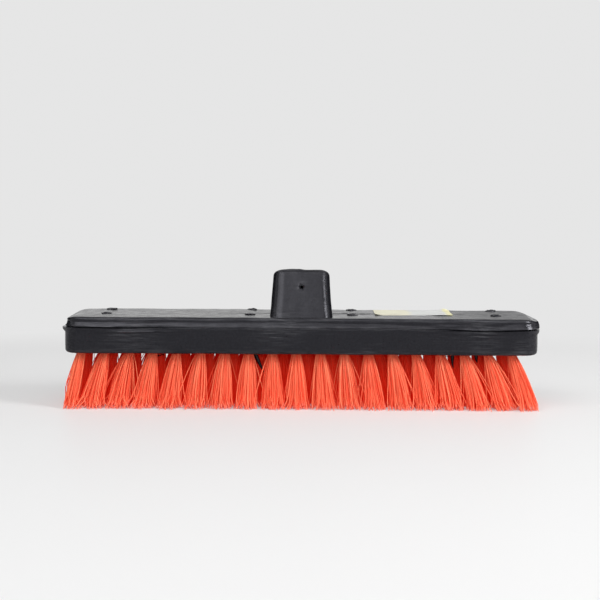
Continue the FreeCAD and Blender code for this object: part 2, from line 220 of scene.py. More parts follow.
# Socket, from its level foot in the plate to its leaning mouth, with burrs on the rim
mounts = {mount["name"]: mount for mount in frame["record"]["mounts"]}
bore = mounts["handle_socket"]
bore_axis = Vector(bore["axis"]).normalized()
bore_radius = bore["dims"]["r_mm"] / 1000
bore_half = bore["dims"]["length_mm"] / 2000
bore_chamfer = 0.001
mouth = Vector(bore["pos_m"]) + (bore_half + bore_chamfer) * bore_axis
mouth_back = Vector((0, bore_axis.z, -bore_axis.y))
mouth_half = (bore_radius + 0.0068, bore_radius + 0.0055)
mouth_corner = 0.007
mouth_round = 0.003
foot_half = (0.0203, 0.0205)
foot_corner = 0.008
foot_front_inset = 0.003
foot_sink = 0.002
foot_middle = Vector((0, -half_depth + foot_front_inset + foot_half[1], top - foot_sink))
rim_burrs = (((-0.006, -0.016), 0.0007, 0.005), ((-0.001, -0.016), 0.0004, 0.002), ((0.004, 0.017), 0.0006, 0.006))
socket_steps = (24, 24, 8)
foot_loop = rounded_loop(*foot_half, foot_corner, socket_steps)


def mouth_ring(inset, depth):
    """The socket's outline near its mouth, drawn in by an inset, at a depth below the plane of the mouth."""
    ring = []
    fade = max(0, 1 - depth / mouth_round)
    for place, out in rounded_loop(mouth_half[0] - inset, mouth_half[1] - inset, mouth_corner - inset, socket_steps):
        lift = fade * bumps(place, rim_burrs) - depth
        ring.append(mouth + Vector((place.x, 0, 0)) + place.y * mouth_back + lift * bore_axis)
    return ring


shoulder_ring = mouth_ring(0, mouth_round)
socket_rings = []
for share in [0] + shares(14):
    socket_rings.append([swollen((foot_middle + Vector((*foot, 0))).lerp(end, share))
                         for (foot, out), end in zip(foot_loop, shoulder_ring)])
for share in shares(7):
    turn = share * math.pi / 2
    ring = mouth_ring(mouth_round * (1 - math.cos(turn)), mouth_round * (1 - math.sin(turn)))
    socket_rings.append([swollen(point) for point in ring])
socket = skin("socket", socket_rings)


def lathe(start, axis, profile, sides):
    """Rings of a solid of revolution along an axis, from a profile of (distance along it, radius)."""
    across = axis.orthogonal().normalized()
    aside = axis.cross(across)
    turns = [2 * math.pi * side / sides for side in range(sides)]
    return [[start + along * axis + radius * (math.cos(turn) * across + math.sin(turn) * aside) for turn in turns]
            for along, radius in profile]


# Cutters for the bore, the screw's hole and the sunk middles of the ejector marks
overrun = 0.004
bore_depth = 2 * bore_half + bore_chamfer
bore_profile = ((-bore_depth, bore_radius), (-bore_chamfer, bore_radius), (0, bore_radius + bore_chamfer),
                (overrun, bore_radius + bore_chamfer + overrun))
screw = mounts["handle_screw_hole"]
screw_radius = screw["dims"]["r_mm"] / 1000
screw_half = screw["dims"]["length_mm"] / 2000
screw_sink = 0.0004
screw_axis = Vector(screw["axis"]).normalized()
collar_profile = ((-0.0010, 0.0032), (0.0003, 0.0030), (0.0008, 0.0024), (0.0009, 0.0012))
collar_torn = (0.0009, 0.0005)
screw_profile = ((-screw_half - overrun, screw_radius), (screw_half, screw_radius),
                 (screw_half + screw_sink, screw_radius + screw_sink), (screw_half + overrun, screw_radius + overrun))
mark_columns = (foot_half[0] + 0.013, half_length - 0.0252)
mark_rows = (-half_depth + 0.024, half_depth - 0.0072)
mark_radius = 0.0037
mark_rim = 0.0009
mark_sink = 0.0006
mark_places = [Vector((side * column, row, top)) for column in mark_columns for side in (-1, 1) for row in mark_rows]
mark_profile = ((-mark_sink, mark_radius - 2 * mark_rim), (overrun, mark_radius - mark_rim))
upward = Vector((0, 0, 1))
cutters = [skin("bore_cutter", lathe(mouth, bore_axis, bore_profile, 72)),
           skin("screw_cutter", lathe(Vector(screw["pos_m"]), screw_axis, screw_profile, 24)),
           skin("mark_cutter", *[lathe(place, upward, mark_profile, 20) for place in mark_places])]

# Tufts' places: the roots are evenly spaced along each row, and the tips fan out from left of the middle
rows = [joint["child"] for joint in frame["joints"]]
hinge_places = [Vector(joint["pos_m"]) for joint in frame["joints"]]
row_nodes = {row: [f"{row}_{part}_tufts" for part in ("left", "middle", "right")] for row in rows}
tufts_in_rows = (19, 18, 19, 18, 19)
left_margin = 0.0102
right_margin = 0.0165
row_insets = ((0, 0), (0.0035, 0.0063), (0, 0), (0.0123, 0.0031), (0, 0))
fan_share = 0.08
fan_offset = 0.017
tip_gap = 0.0012
boxes = [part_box(node) for nodes in row_nodes.values() for node in nodes]
field_low = Vector([min(low[axis] for low, high in boxes) for axis in range(3)])
field_high = Vector([max(high[axis] for low, high in boxes) for axis in range(3)])
tip_depth = (field_high.y - field_low.y - (len(rows) - 1) * tip_gap) / len(rows)


def row_points(index, name):
    """An object with a point at the mouth of each hole of a row, and the middle and half size of each tuft's tip."""
    count = tufts_in_rows[index]
    left_inset, right_inset = row_insets[index]
    first = block_low.x + left_margin + left_inset
    pitch = (block_high.x - right_margin - right_inset - first) / (count - 1)
    reach = ((1 + fan_share) * pitch - tip_gap) / 2
    data = bpy.data.meshes.new(name)
    data.from_pydata([(first + pitch * place, hinge_places[index].y, underside) for place in range(count)], [], [])
    tips = data.attributes.new("tip", "FLOAT_VECTOR", "POINT")
    halves = data.attributes.new("tip half size", "FLOAT_VECTOR", "POINT")
    for vertex, tip, half in zip(data.vertices, tips.data, halves.data):
        fanned = vertex.co.x + fan_share * (vertex.co.x + fan_offset)
        low = max(fanned - reach, field_low.x)
        high = min(fanned + reach, field_high.x)
        tip.vector = ((low + high) / 2, field_low.y + tip_depth / 2 + index * (tip_depth + tip_gap), field_low.z)
        half.vector = ((high - low) / 2, tip_depth / 2, 0)
    return linked(name, data)


def add(tree, kind, inputs=None, **settings):
    """Adds a node, with its settings and with values or other nodes' outputs on its inputs."""
    made = tree.nodes.new(kind)
    for setting, value in settings.items():
        setattr(made, setting, value)
    for name, value in (inputs or {}).items():
        if isinstance(value, bpy.types.NodeSocket):
            tree.links.new(value, made.inputs[name])
        else:
            made.inputs[name].default_value = value
    return made


def geometry_tree(name, sizes):
    """An empty Geometry Nodes tree with a geometry in and out and named inputs: (tree, its inputs)."""
    tree = bpy.data.node_groups.new(name, "GeometryNodeTree")
    tree.interface.new_socket("Geometry", in_out="INPUT", socket_type="NodeSocketGeometry")
    for size, kind in sizes.items():
        tree.interface.new_socket(size, in_out="INPUT", socket_type=f"NodeSocket{kind}")
    tree.interface.new_socket("Geometry", in_out="OUTPUT", socket_type="NodeSocketGeometry")
    return tree, tree.nodes.new("NodeGroupInput").outputs


def end_tree(tree, geometry, material):
    """Realizes the finished geometry, gives it its material and joins it to the tree's output."""
    solid = add(tree, "GeometryNodeRealizeInstances", {"Geometry": geometry})
    finished = add(tree, "GeometryNodeSetMaterial", {"Geometry": solid.outputs[0], "Material": material})
    tree.links.new(finished.outputs[0], tree.nodes.new("NodeGroupOutput").inputs["Geometry"])


def grow(thing, tree, values):
    """Puts a Geometry Nodes tree on an object, with values for its named inputs."""
    modifier = thing.modifiers.new(tree.name, "NODES")
    modifier.node_group = tree
    for socket in tree.interface.items_tree:
        if socket.in_out == "INPUT" and socket.name in values:
            modifier[socket.identifier] = values[socket.name]


def plain_mesh(thing, name):
    """A plain mesh piece with an object's evaluated shape; the object itself goes."""
    evaluated = thing.evaluated_get(bpy.context.evaluated_depsgraph_get())
    piece = linked(name, bpy.data.meshes.new_from_object(evaluated))
    bpy.data.objects.remove(thing)
    return piece


def black_plastic():
    """Scuffed recycled plastic: nearly black, glossy, a little wavy, with rub marks and greyed, worn places."""
    material = bpy.data.materials.new("black_plastic")
    material.use_nodes = True
    tree = material.node_tree
    shader = tree.nodes["Principled BSDF"]
    place = add(tree, "ShaderNodeTexCoord").outputs["Object"]
    grain = add(tree, "ShaderNodeTexNoise", {"Vector": place, "Scale": 700, "Detail": 4, "Roughness": 0.65})
    lumps = add(tree, "ShaderNodeTexNoise", {"Vector": place, "Scale": 170, "Detail": 4, "Roughness": 0.55})
    drawn = add(tree, "ShaderNodeMapping", {"Vector": place, "Scale": (60, 700, 900), "Rotation": (0, 0.06, 0.04)})
    rubs = add(tree, "ShaderNodeTexNoise", {"Vector": drawn.outputs[0], "Scale": 1, "Detail": 4, "Roughness": 0.7})
    rub_mask = add(tree, "ShaderNodeMapRange", {"Value": rubs.outputs[0], "From Min": 0.56, "From Max": 0.74})
    patches = add(tree, "ShaderNodeTexNoise", {"Vector": place, "Scale": 38, "Detail": 4, "Roughness": 0.6})
    patch_mask = add(tree, "ShaderNodeMapRange", {"Value": patches.outputs[0], "From Min": 0.45, "From Max": 0.7})
    wear = add(tree, "ShaderNodeAttribute", attribute_name="wear")
    scraped = add(tree, "ShaderNodeMapRange", {"Value": rubs.outputs[0], "From Min": 0.42, "From Max": 0.75})
    worn = add(tree, "ShaderNodeMath", {0: scraped.outputs[0], 1: wear.outputs["Fac"]}, operation="MULTIPLY")
    rubbed = add(tree, "ShaderNodeMath", {0: rub_mask.outputs[0], 1: patch_mask.outputs[0]}, operation="MULTIPLY")
    scuffed = add(tree, "ShaderNodeMath", {0: rubbed.outputs[0], 1: 0.45, 2: worn.outputs[0]},
                  operation="MULTIPLY_ADD", use_clamp=True)
    mottle = add(tree, "ShaderNodeMapRange", {"Value": grain.outputs[0], "From Min": 0.35, "From Max": 0.7})
    skin_colour = add(tree, "ShaderNodeMix", {0: mottle.outputs[0], 6: (0.0062, 0.0060, 0.0078, 1),
                                              7: (0.0122, 0.0120, 0.0150, 1)}, data_type="RGBA")
    colour = add(tree, "ShaderNodeMix", {0: scuffed.outputs[0], 6: skin_colour.outputs[2], 7: (0.085, 0.085, 0.092, 1)},
                 data_type="RGBA")
    tree.links.new(colour.outputs[2], shader.inputs["Base Color"])
    gloss = add(tree, "ShaderNodeMapRange", {"Value": lumps.outputs[0], "From Min": 0.3, "From Max": 0.7,
                                             "To Min": 0.14, "To Max": 0.27})
    axes = add(tree, "ShaderNodeSeparateXYZ", {0: place}).outputs
    on_right = add(tree, "ShaderNodeMapRange", {"Value": axes["X"], "From Min": 0.080, "From Max": 0.115, "To Max": 0.12})
    on_top = add(tree, "ShaderNodeMath", {0: axes["Z"], 1: top - 0.001}, operation="GREATER_THAN")
    roughness = add(tree, "ShaderNodeMath", {0: on_right.outputs[0], 1: on_top.outputs[0], 2: gloss.outputs[0]},
                    operation="MULTIPLY_ADD")
    tree.links.new(roughness.outputs[0], shader.inputs["Roughness"])
    heights = add(tree, "ShaderNodeMath", {0: grain.outputs[0], 1: 0.1, 2: lumps.outputs[0]}, operation="MULTIPLY_ADD")
    scratched = add(tree, "ShaderNodeMath", {0: rub_mask.outputs[0], 1: -0.2, 2: heights.outputs[0]},
                    operation="MULTIPLY_ADD")
    relief = add(tree, "ShaderNodeBump", {"Height": scratched.outputs[0], "Strength": 0.2, "Distance": 0.0005})
    tree.links.new(relief.outputs[0], shader.inputs["Normal"])
    shader.inputs["Specular IOR Level"].default_value = 0.27
    shader.inputs["Specular Tint"].default_value = (0.91, 0.91, 1.0, 1)
    return material


plastic = black_plastic()

# Raised rings: the rims of the ejector marks, and the burrs that the drill left round the holes
ring_tree, ring_in = geometry_tree("raised_rings", {
    "Radius": "Float", "Thickness": "Float", "Flatness": "Float", "Steps": "Int", "Tilt": "Float",
    "Raggedness": "Float", "Ragged scale": "Float", "Seed": "Int", "Material": "Material"})
round_path = add(ring_tree, "GeometryNodeCurvePrimitiveCircle", {"Resolution": ring_in["Steps"], "Radius": ring_in["Radius"]})
bead = add(ring_tree, "GeometryNodeCurvePrimitiveCircle", {"Resolution": 7, "Radius": ring_in["Thickness"]})
ring_mesh = add(ring_tree, "GeometryNodeCurveToMesh", {"Curve": round_path.outputs[0], "Profile Curve": bead.outputs[0]})
squeeze = add(ring_tree, "ShaderNodeCombineXYZ", {"X": 1, "Y": 1, "Z": ring_in["Flatness"]})
pressed = add(ring_tree, "GeometryNodeTransform", {"Geometry": ring_mesh.outputs[0], "Scale": squeeze.outputs[0]})
most_tilt = add(ring_tree, "ShaderNodeCombineXYZ", {"X": ring_in["Tilt"], "Y": ring_in["Tilt"], "Z": math.pi})
least_tilt = add(ring_tree, "ShaderNodeVectorMath", {0: most_tilt.outputs[0], "Scale": -1}, operation="SCALE")
tilts = add(ring_tree, "FunctionNodeRandomValue", {0: least_tilt.outputs[0], 1: most_tilt.outputs[0],
                                                   "Seed": ring_in["Seed"]}, data_type="FLOAT_VECTOR")
stamped = add(ring_tree, "GeometryNodeInstanceOnPoints", {
    "Points": ring_in["Geometry"], "Instance": pressed.outputs[0], "Rotation": tilts.outputs[0]})
loose_rings = add(ring_tree, "GeometryNodeRealizeInstances", {"Geometry": stamped.outputs[0]})
ragged = add(ring_tree, "ShaderNodeTexNoise", {"Scale": ring_in["Ragged scale"], "Detail": 2})
centred = add(ring_tree, "ShaderNodeVectorMath", {0: ragged.outputs["Color"], 1: (0.5, 0.5, 0.5)}, operation="SUBTRACT")
push = add(ring_tree, "ShaderNodeVectorMath", {0: centred.outputs[0], "Scale": ring_in["Raggedness"]}, operation="SCALE")
torn = add(ring_tree, "GeometryNodeSetPosition", {"Geometry": loose_rings.outputs[0], "Offset": push.outputs[0]})
end_tree(ring_tree, torn.outputs[0], ring_in["Material"])
hole_radius = 0.003
hole_depth = 0.012
collar_start = Vector(screw["pos_m"]) + screw_half * screw_axis
collar = [[point + collar_torn[1] * noise.noise_vector(point / collar_torn[0]) for point in ring]
          for ring in lathe(collar_start, screw_axis, collar_profile, 32)]
additions = [socket, skin("screw_collar", collar)]
mark_data = bpy.data.meshes.new("mark_points")
mark_data.from_pydata(mark_places, [], [])
mark_points = linked("mark_points", mark_data)
grow(mark_points, ring_tree, {"Radius": mark_radius - mark_rim, "Thickness": mark_rim, "Flatness": 0.75, "Steps": 28,
                              "Tilt": 0.09, "Raggedness": 0.0011, "Ragged scale": 420, "Seed": 3, "Material": plastic})
additions.append(plain_mesh(mark_points, "mark_rings"))
for index, row in enumerate(rows):
    rim_points = row_points(index, f"{row}_rims")
    grow(rim_points, ring_tree, {"Radius": hole_radius, "Thickness": 0.00045, "Flatness": 0.8, "Steps": 16, "Tilt": 0.06,
                                 "Raggedness": 0.0007, "Ragged scale": 700, "Seed": 5 + index, "Material": plastic})
    additions.append(plain_mesh(rim_points, f"{row}_burrs"))

# Drills, one down the axis of each tuft
drill_tree, drill_in = geometry_tree("drilled_holes", {
    "Radius": "Float", "Length": "Float", "Overrun": "Float", "Material": "Material"})
tips = add(drill_tree, "GeometryNodeInputNamedAttribute", {"Name": "tip"}, data_type="FLOAT_VECTOR")
mouths = add(drill_tree, "GeometryNodeInputPosition")
lean = add(drill_tree, "ShaderNodeVectorMath", {0: mouths.outputs[0], 1: tips.outputs[0]}, operation="SUBTRACT")
turned = add(drill_tree, "FunctionNodeAlignRotationToVector", {"Vector": lean.outputs[0]}, axis="Z")
whole = add(drill_tree, "ShaderNodeMath", {0: drill_in["Length"], 1: drill_in["Overrun"]})
drill = add(drill_tree, "GeometryNodeMeshCylinder", {"Vertices": 16, "Radius": drill_in["Radius"],
                                                     "Depth": whole.outputs[0]})
unequal = add(drill_tree, "ShaderNodeMath", {0: drill_in["Length"], 1: drill_in["Overrun"]}, operation="SUBTRACT")
middle = add(drill_tree, "ShaderNodeMath", {0: unequal.outputs[0], 1: 0.5}, operation="MULTIPLY")
rise = add(drill_tree, "ShaderNodeCombineXYZ", {"Z": middle.outputs[0]})
seated = add(drill_tree, "GeometryNodeTransform", {"Geometry": drill.outputs["Mesh"], "Translation": rise.outputs[0]})
sunk = add(drill_tree, "GeometryNodeInstanceOnPoints", {
    "Points": drill_in["Geometry"], "Instance": seated.outputs[0], "Rotation": turned.outputs[0]})
end_tree(drill_tree, sunk.outputs[0], drill_in["Material"])
for index, row in enumerate(rows):
    drills = row_points(index, f"{row}_drills")
    grow(drills, drill_tree, {"Radius": hole_radius, "Length": hole_depth, "Overrun": overrun, "Material": plastic})
    cutters.append(plain_mesh(drills, f"{row}_holes"))

for operation, tools in (("UNION", additions), ("DIFFERENCE", cutters)):
    for tool in tools:
        cut = slab.modifiers.new(tool.name, "BOOLEAN")
        cut.object = tool
        cut.operation = operation
        cut.solver = "MANIFOLD"
block = plain_mesh(slab, "moulded_block")
for tool in additions + cutters:
    bpy.data.objects.remove(tool)

# Wear: the rounded edges, the flash and the rim of the socket are rubbed grey
wear = block.data.attributes.new("wear", "FLOAT", "POINT")
wear_reach = 0.0012
end_reach = 0.006
wear_spots = (((0.115, -half_depth, seam_level - 0.0012), 0.8, 0.010), ((-0.016, -half_depth, plate_foot), 0.7, 0.013),
              ((-0.106, -half_depth, seam_level - 0.002), 0.5, 0.016), (tuple(collar_start), 0.9, 0.0035), ((0.140, -half_depth, underside + 0.005), 0.6, 0.005))
for vertex, value in zip(block.data.vertices, wear.data):
    point = vertex.co
    levels = (abs(point.z - shoulder), abs(point.z - top + plate_round / 2),
              abs(point.z - underside - underside_round / 2))
    near_edge = min(half_depth - abs(point.y), half_length - abs(point.x)) < plate_end_inset + plate_round
    edge = math.exp(-(min(levels) / wear_reach) ** 2) if near_edge else 0
    rim = math.exp(-((point - mouth).dot(bore_axis) / mouth_round) ** 2) if point.z > top + plate_round else 0
    end = math.exp(-((half_length - abs(point.x)) / end_reach) ** 2)
    spots = sum(strength * math.exp(-((point - Vector(spot)).length / spread) ** 2)
                for spot, strength, spread in wear_spots)
    value.value = min(1, 0.6 * max(edge, rim) + 0.4 * end + spots)
block.data.materials.clear()
block.data.materials.append(plastic)
block.data.shade_smooth()
block.data.set_sharp_from_angle(angle=math.radians(42))
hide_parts("block")
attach(block, "block")

# Swarf: curls and slivers of the block's plastic that the drill raised and nobody brushed off.
# They hang from the edges of the holes, among the roots of the tufts.
swarf_sides = 6
swarf_steps = 22
swarf_flatness = 0.3
# Each bit as its start, its end, the radius of its curl, its turns and its width
swarf_table = (((-0.0312, -0.0140, 0.0365), (-0.0234, -0.0150, 0.0226), 0.0003, 0.5, 0.0030),
               ((-0.0925, -0.0165, 0.0362), (-0.0875, -0.0165, 0.0328), 0.0013, 1.4, 0.0011),
               ((0.0478, -0.0145, 0.0240), (0.0526, -0.0145, 0.0212), 0.0009, 0.6, 0.0013),
               ((0.0940, -0.0160, 0.0362), (0.0966, -0.0160, 0.0330), 0.0011, 1.2, 0.0010),
               ((0.0977, -0.0150, 0.0365), (0.0993, -0.0150, 0.0258), 0.0004, 0.7, 0.0025),
               ((0.1128, -0.0150, 0.0365), (0.1150, -0.0150, 0.0296), 0.0005, 0.6, 0.0028),
               ((-0.0400, 0.0150, 0.0362), (-0.0440, 0.0165, 0.0280), 0.0006, 0.8, 0.0018),
               ((0.0650, 0.0150, 0.0362), (0.0690, 0.0160, 0.0310), 0.0011, 1.3, 0.0011))


def sliver(start, end, curl, turns, width):
    """Rings of a flat sliver that curls round the line from start to end, tapers to a point and faces the front."""
    axis = (end - start).normalized()
    across = axis.cross(Vector((0, 1, 0))).normalized()
    aside = axis.cross(across)
    rings = []
    for step in range(swarf_steps):
        share = step / (swarf_steps - 1)
        turn = 2 * math.pi * turns * share
        centre = start.lerp(end, share) + curl * ((math.cos(turn) - 1) * across + math.sin(turn) * aside)
        half = width / 2 * (1 - 0.9 * share ** 2)
        rings.append([centre + half * (math.cos(corner) * across + swarf_flatness * math.sin(corner) * aside)
                      for corner in (2 * math.pi * side / swarf_sides for side in range(swarf_sides))])
    return rings


swarf = skin("drilling_swarf", *[sliver(Vector(start), Vector(end), curl, turns, width)
                                 for start, end, curl, turns, width in swarf_table])
swarf.data.materials.append(plastic)
swarf.data.shade_smooth()
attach(swarf, "block")

# Anchors: short lengths of flat galvanised wire, stapled through the fold of each tuft at the bottom of its hole.
# They stay as they are in the solids, and only their finish is made here.


def galvanised_wire():
    """Zinc-coated steel: pale grey, brushed along the wire, with a dull mottle."""
    material = bpy.data.materials.new("galvanised_wire")
    material.use_nodes = True
    tree = material.node_tree
    shader = tree.nodes["Principled BSDF"]
    place = add(tree, "ShaderNodeTexCoord").outputs["Object"]
    mottle = add(tree, "ShaderNodeTexVoronoi", {"Vector": place, "Scale": 1400})
    drawn = add(tree, "ShaderNodeMapping", {"Vector": place, "Scale": (200, 6000, 6000)})
    lines = add(tree, "ShaderNodeTexNoise", {"Vector": drawn.outputs[0], "Scale": 1, "Detail": 2})
    colour = add(tree, "ShaderNodeMix", {0: mottle.outputs["Distance"], 6: (0.5, 0.51, 0.52, 1),
                                         7: (0.68, 0.68, 0.67, 1)}, data_type="RGBA")
    tree.links.new(colour.outputs[2], shader.inputs["Base Color"])
    roughness = add(tree, "ShaderNodeMapRange", {"Value": lines.outputs[0], "To Min": 0.25, "To Max": 0.5})
    tree.links.new(roughness.outputs[0], shader.inputs["Roughness"])
    relief = add(tree, "ShaderNodeBump", {"Height": lines.outputs[0], "Strength": 0.2, "Distance": 0.0001})
    tree.links.new(relief.outputs[0], shader.inputs["Normal"])
    shader.inputs["Metallic"].default_value = 1
    return material


wire = galvanised_wire()
for row in rows:
    anchors = frame["nodes"][f"{row}_anchors"]
    anchors.data.materials.clear()
    anchors.data.materials.append(wire)

# Tufts: bundles of half-millimetre coral filament, folded over their anchors, fanned out and trimmed flat.
# Each row is one piece, from its roots in the block to its tips.


def coral_filament():
    """Drawn filament of fluorescent coral red, glossy, each strand a little lighter or darker, pale at the cut end,
    with a red glow that is painted light, weaker at the roots as painted shade.
    """
    material = bpy.data.materials.new("coral_filament")
    material.use_nodes = True
    tree = material.node_tree
    shader = tree.nodes["Principled BSDF"]
    tint = add(tree, "ShaderNodeAttribute", attribute_name="strand tint")
    along = add(tree, "ShaderNodeAttribute", attribute_name="along strand")
    strand = add(tree, "ShaderNodeMix", {0: tint.outputs["Fac"], 6: (0.90, 0.030, 0.006, 1),
                                         7: (0.99, 0.280, 0.145, 1)}, data_type="RGBA")
    frayed = add(tree, "ShaderNodeMapRange", {"Value": along.outputs["Fac"], "From Min": 0.93, "From Max": 1.0})
    colour = add(tree, "ShaderNodeMix", {0: frayed.outputs[0], 6: strand.outputs[2], 7: (0.98, 0.28, 0.20, 1)},
                 data_type="RGBA")
    tree.links.new(colour.outputs[2], shader.inputs["Base Color"])
    roughness = add(tree, "ShaderNodeMapRange", {"Value": tint.outputs["Fac"], "To Min": 0.4, "To Max": 0.55})
    tree.links.new(roughness.outputs[0], shader.inputs["Roughness"])
    shader.inputs["Specular IOR Level"].default_value = 0.2
    # Painted light: a red glow, weak at the roots as painted shade under the block and stronger towards the tips.
    glow = add(tree, "ShaderNodeMapRange", {"Value": along.outputs["Fac"], "To Min": 0.04, "To Max": 0.11})
    tree.links.new(glow.outputs[0], shader.inputs["Emission Strength"])
    shader.inputs["Emission Color"].default_value = (1.0, 0.02, 0.004, 1)
    return material


coral = coral_filament()
tuft_tree, tuft_in = geometry_tree("bristle_row", {
    "Filaments": "Int", "Root radius": "Float", "Root depth": "Float", "Filament radius": "Float", "Points": "Int",
    "Bow": "Float", "Droop": "Float", "Bulge": "Float", "Tip scatter": "Float", "Tip curl": "Float", "Trim": "Float", "Frayed from": "Float", "Frayed to": "Float", "Stray share": "Float",
    "Stray reach": "Float", "Painted shade lightness": "Float", "Field low": "Vector", "Field high": "Vector", "Seed": "Int", "Material": "Material"})


def sum_of(operation, first, second=0.0):
    """The result of a sum in the tufts' tree."""
    return add(tuft_tree, "ShaderNodeMath", {0: first, 1: second}, operation=operation).outputs[0]


def vector_of(operation, first, second=(0, 0, 0)):
    """The result of a vector sum in the tufts' tree."""
    return add(tuft_tree, "ShaderNodeVectorMath", {0: first, 1: second}, operation=operation).outputs[0]


def scaled(vector, factor):
    """A vector times a number in the tufts' tree."""
    return add(tuft_tree, "ShaderNodeVectorMath", {0: vector, "Scale": factor}, operation="SCALE").outputs[0]


def drawn_vector(seed_step):
    """A seeded random vector from -1 to 1 for each filament."""
    seed = sum_of("ADD", tuft_in["Seed"], seed_step)
    return add(tuft_tree, "FunctionNodeRandomValue", {0: (-1, -1, -1), 1: (1, 1, 1), "Seed": seed},
               data_type="FLOAT_VECTOR").outputs[0]


def drawn_number(seed_step):
    """A seeded random number from 0 to 1 for each filament."""
    seed = sum_of("ADD", tuft_in["Seed"], seed_step)
    return add(tuft_tree, "FunctionNodeRandomValue", {2: 0, 3: 1, "Seed": seed}, data_type="FLOAT").outputs[1]


def stored(geometry, name, kind, value):
    """The geometry with a value kept on its points under a name."""
    return add(tuft_tree, "GeometryNodeStoreNamedAttribute", {"Geometry": geometry, "Name": name, "Value": value},
               data_type=kind, domain="POINT").outputs[0]


def kept(name, kind="FLOAT_VECTOR"):
    """A value kept on the points under a name."""
    return add(tuft_tree, "GeometryNodeInputNamedAttribute", {"Name": name}, data_type=kind).outputs[0]


copies = add(tuft_tree, "GeometryNodeDuplicateElements", {"Geometry": tuft_in["Geometry"],
                                                          "Amount": tuft_in["Filaments"]}, domain="POINT")
golden_turn = math.pi * (3 - math.sqrt(5))
order = sum_of("ADD", copies.outputs["Duplicate Index"], 0.5)
from_middle = sum_of("SQRT", sum_of("DIVIDE", order, tuft_in["Filaments"]))
turn = sum_of("MULTIPLY", order, golden_turn)
spoke = add(tuft_tree, "ShaderNodeCombineXYZ", {"X": sum_of("COSINE", turn), "Y": sum_of("SINE", turn)}).outputs[0]
spoke = scaled(spoke, from_middle)
is_stray = sum_of("LESS_THAN", drawn_number(1), tuft_in["Stray share"])
reach = sum_of("ADD", sum_of("MULTIPLY", is_stray, tuft_in["Stray reach"]), 1.0)
tip_offset = scaled(vector_of("MULTIPLY", spoke, kept("tip half size")), reach)
level = vector_of("MULTIPLY", drawn_vector(2), (1, 1, 0))
tip_offset = vector_of("ADD", tip_offset, scaled(level, tuft_in["Tip scatter"]))
few = sum_of("POWER", drawn_number(3), 3.0)
trim = add(tuft_tree, "ShaderNodeCombineXYZ", {"Z": sum_of("MULTIPLY", few, tuft_in["Trim"])}).outputs[0]
tuft_tip = kept("tip")
strand_tip = vector_of("ADD", vector_of("ADD", tuft_tip, tip_offset), trim)
mouth_position = add(tuft_tree, "GeometryNodeInputPosition").outputs[0]
points = copies.outputs["Geometry"]
points = stored(points, "hole axis", "FLOAT_VECTOR", vector_of("NORMALIZE", vector_of("SUBTRACT", mouth_position, tuft_tip)))
points = stored(points, "strand root", "FLOAT_VECTOR",
                vector_of("ADD", mouth_position, scaled(spoke, tuft_in["Root radius"])))
points = stored(points, "strand tip", "FLOAT_VECTOR", strand_tip)
lean = vector_of("MULTIPLY", vector_of("SUBTRACT", tuft_tip, mouth_position), (1, 1, 0))
points = stored(points, "strand bow", "FLOAT_VECTOR", vector_of(
    "ADD", scaled(drawn_vector(4), tuft_in["Bow"]), scaled(lean, tuft_in["Droop"])))
points = stored(points, "strand bulge", "FLOAT_VECTOR", scaled(spoke, tuft_in["Bulge"]))
root_x = add(tuft_tree, "ShaderNodeSeparateXYZ", {0: mouth_position}).outputs["X"]
fray = add(tuft_tree, "ShaderNodeMapRange", {"Value": root_x, "From Min": tuft_in["Frayed from"],
                                             "From Max": tuft_in["Frayed to"], "To Min": 2.2, "To Max": 1}).outputs[0]
points = stored(points, "strand curl", "FLOAT_VECTOR", scaled(
    vector_of("MULTIPLY", drawn_vector(6), (1, 1, 0)), sum_of("MULTIPLY", fray, tuft_in["Tip curl"])))
# The tint is scaled by each row's lightness, so the inner rows come out darker: painted shade between the rows.
points = stored(points, "strand tint", "FLOAT", sum_of(
    "MULTIPLY", sum_of("ADD", sum_of("MULTIPLY", drawn_number(5), 0.65), 0.35), tuft_in["Painted shade lightness"]))
line = add(tuft_tree, "GeometryNodeCurvePrimitiveLine")
fine_line = add(tuft_tree, "GeometryNodeResampleCurve", {"Curve": line.outputs[0], "Count": tuft_in["Points"]})
strands = add(tuft_tree, "GeometryNodeInstanceOnPoints", {"Points": points, "Instance": fine_line.outputs[0]})
strands = add(tuft_tree, "GeometryNodeRealizeInstances", {"Geometry": strands.outputs[0]}).outputs[0]
factor = add(tuft_tree, "GeometryNodeSplineParameter").outputs["Factor"]
first_step = sum_of("DIVIDE", 1.0, sum_of("SUBTRACT", tuft_in["Points"], 1.0))
outside = sum_of("DIVIDE", sum_of("SUBTRACT", factor, first_step), sum_of("SUBTRACT", 1.0, first_step))
outside = sum_of("MAXIMUM", outside, 0.0)
inside = sum_of("MAXIMUM", sum_of("SUBTRACT", 1.0, sum_of("DIVIDE", factor, first_step)), 0.0)
root = kept("strand root")
run = vector_of("SUBTRACT", kept("strand tip"), root)
arch = sum_of("MULTIPLY", sum_of("MULTIPLY", outside, sum_of("SUBTRACT", 1.0, outside)), 4.0)
path = vector_of("ADD", root, scaled(run, outside))
path = vector_of("ADD", path, scaled(kept("strand bow"), arch))
near_root = sum_of("MULTIPLY", arch, sum_of("MULTIPLY", sum_of("SUBTRACT", 1.0, outside), 1.69))
path = vector_of("ADD", path, scaled(kept("strand bulge"), near_root))
path = vector_of("ADD", path, scaled(kept("strand curl"), sum_of("POWER", outside, 10.0)))
path = vector_of("MINIMUM", vector_of("MAXIMUM", path, tuft_in["Field low"]), tuft_in["Field high"])
path = vector_of("ADD", path, scaled(kept("hole axis"), sum_of("MULTIPLY", inside, tuft_in["Root depth"])))
strands = stored(strands, "along strand", "FLOAT", outside)
strands = add(tuft_tree, "GeometryNodeSetPosition", {"Geometry": strands, "Position": path}).outputs[0]
section = add(tuft_tree, "GeometryNodeCurvePrimitiveCircle", {"Resolution": 4, "Radius": tuft_in["Filament radius"]})
filaments = add(tuft_tree, "GeometryNodeCurveToMesh", {"Curve": strands, "Profile Curve": section.outputs[0],
                                                       "Fill Caps": True})
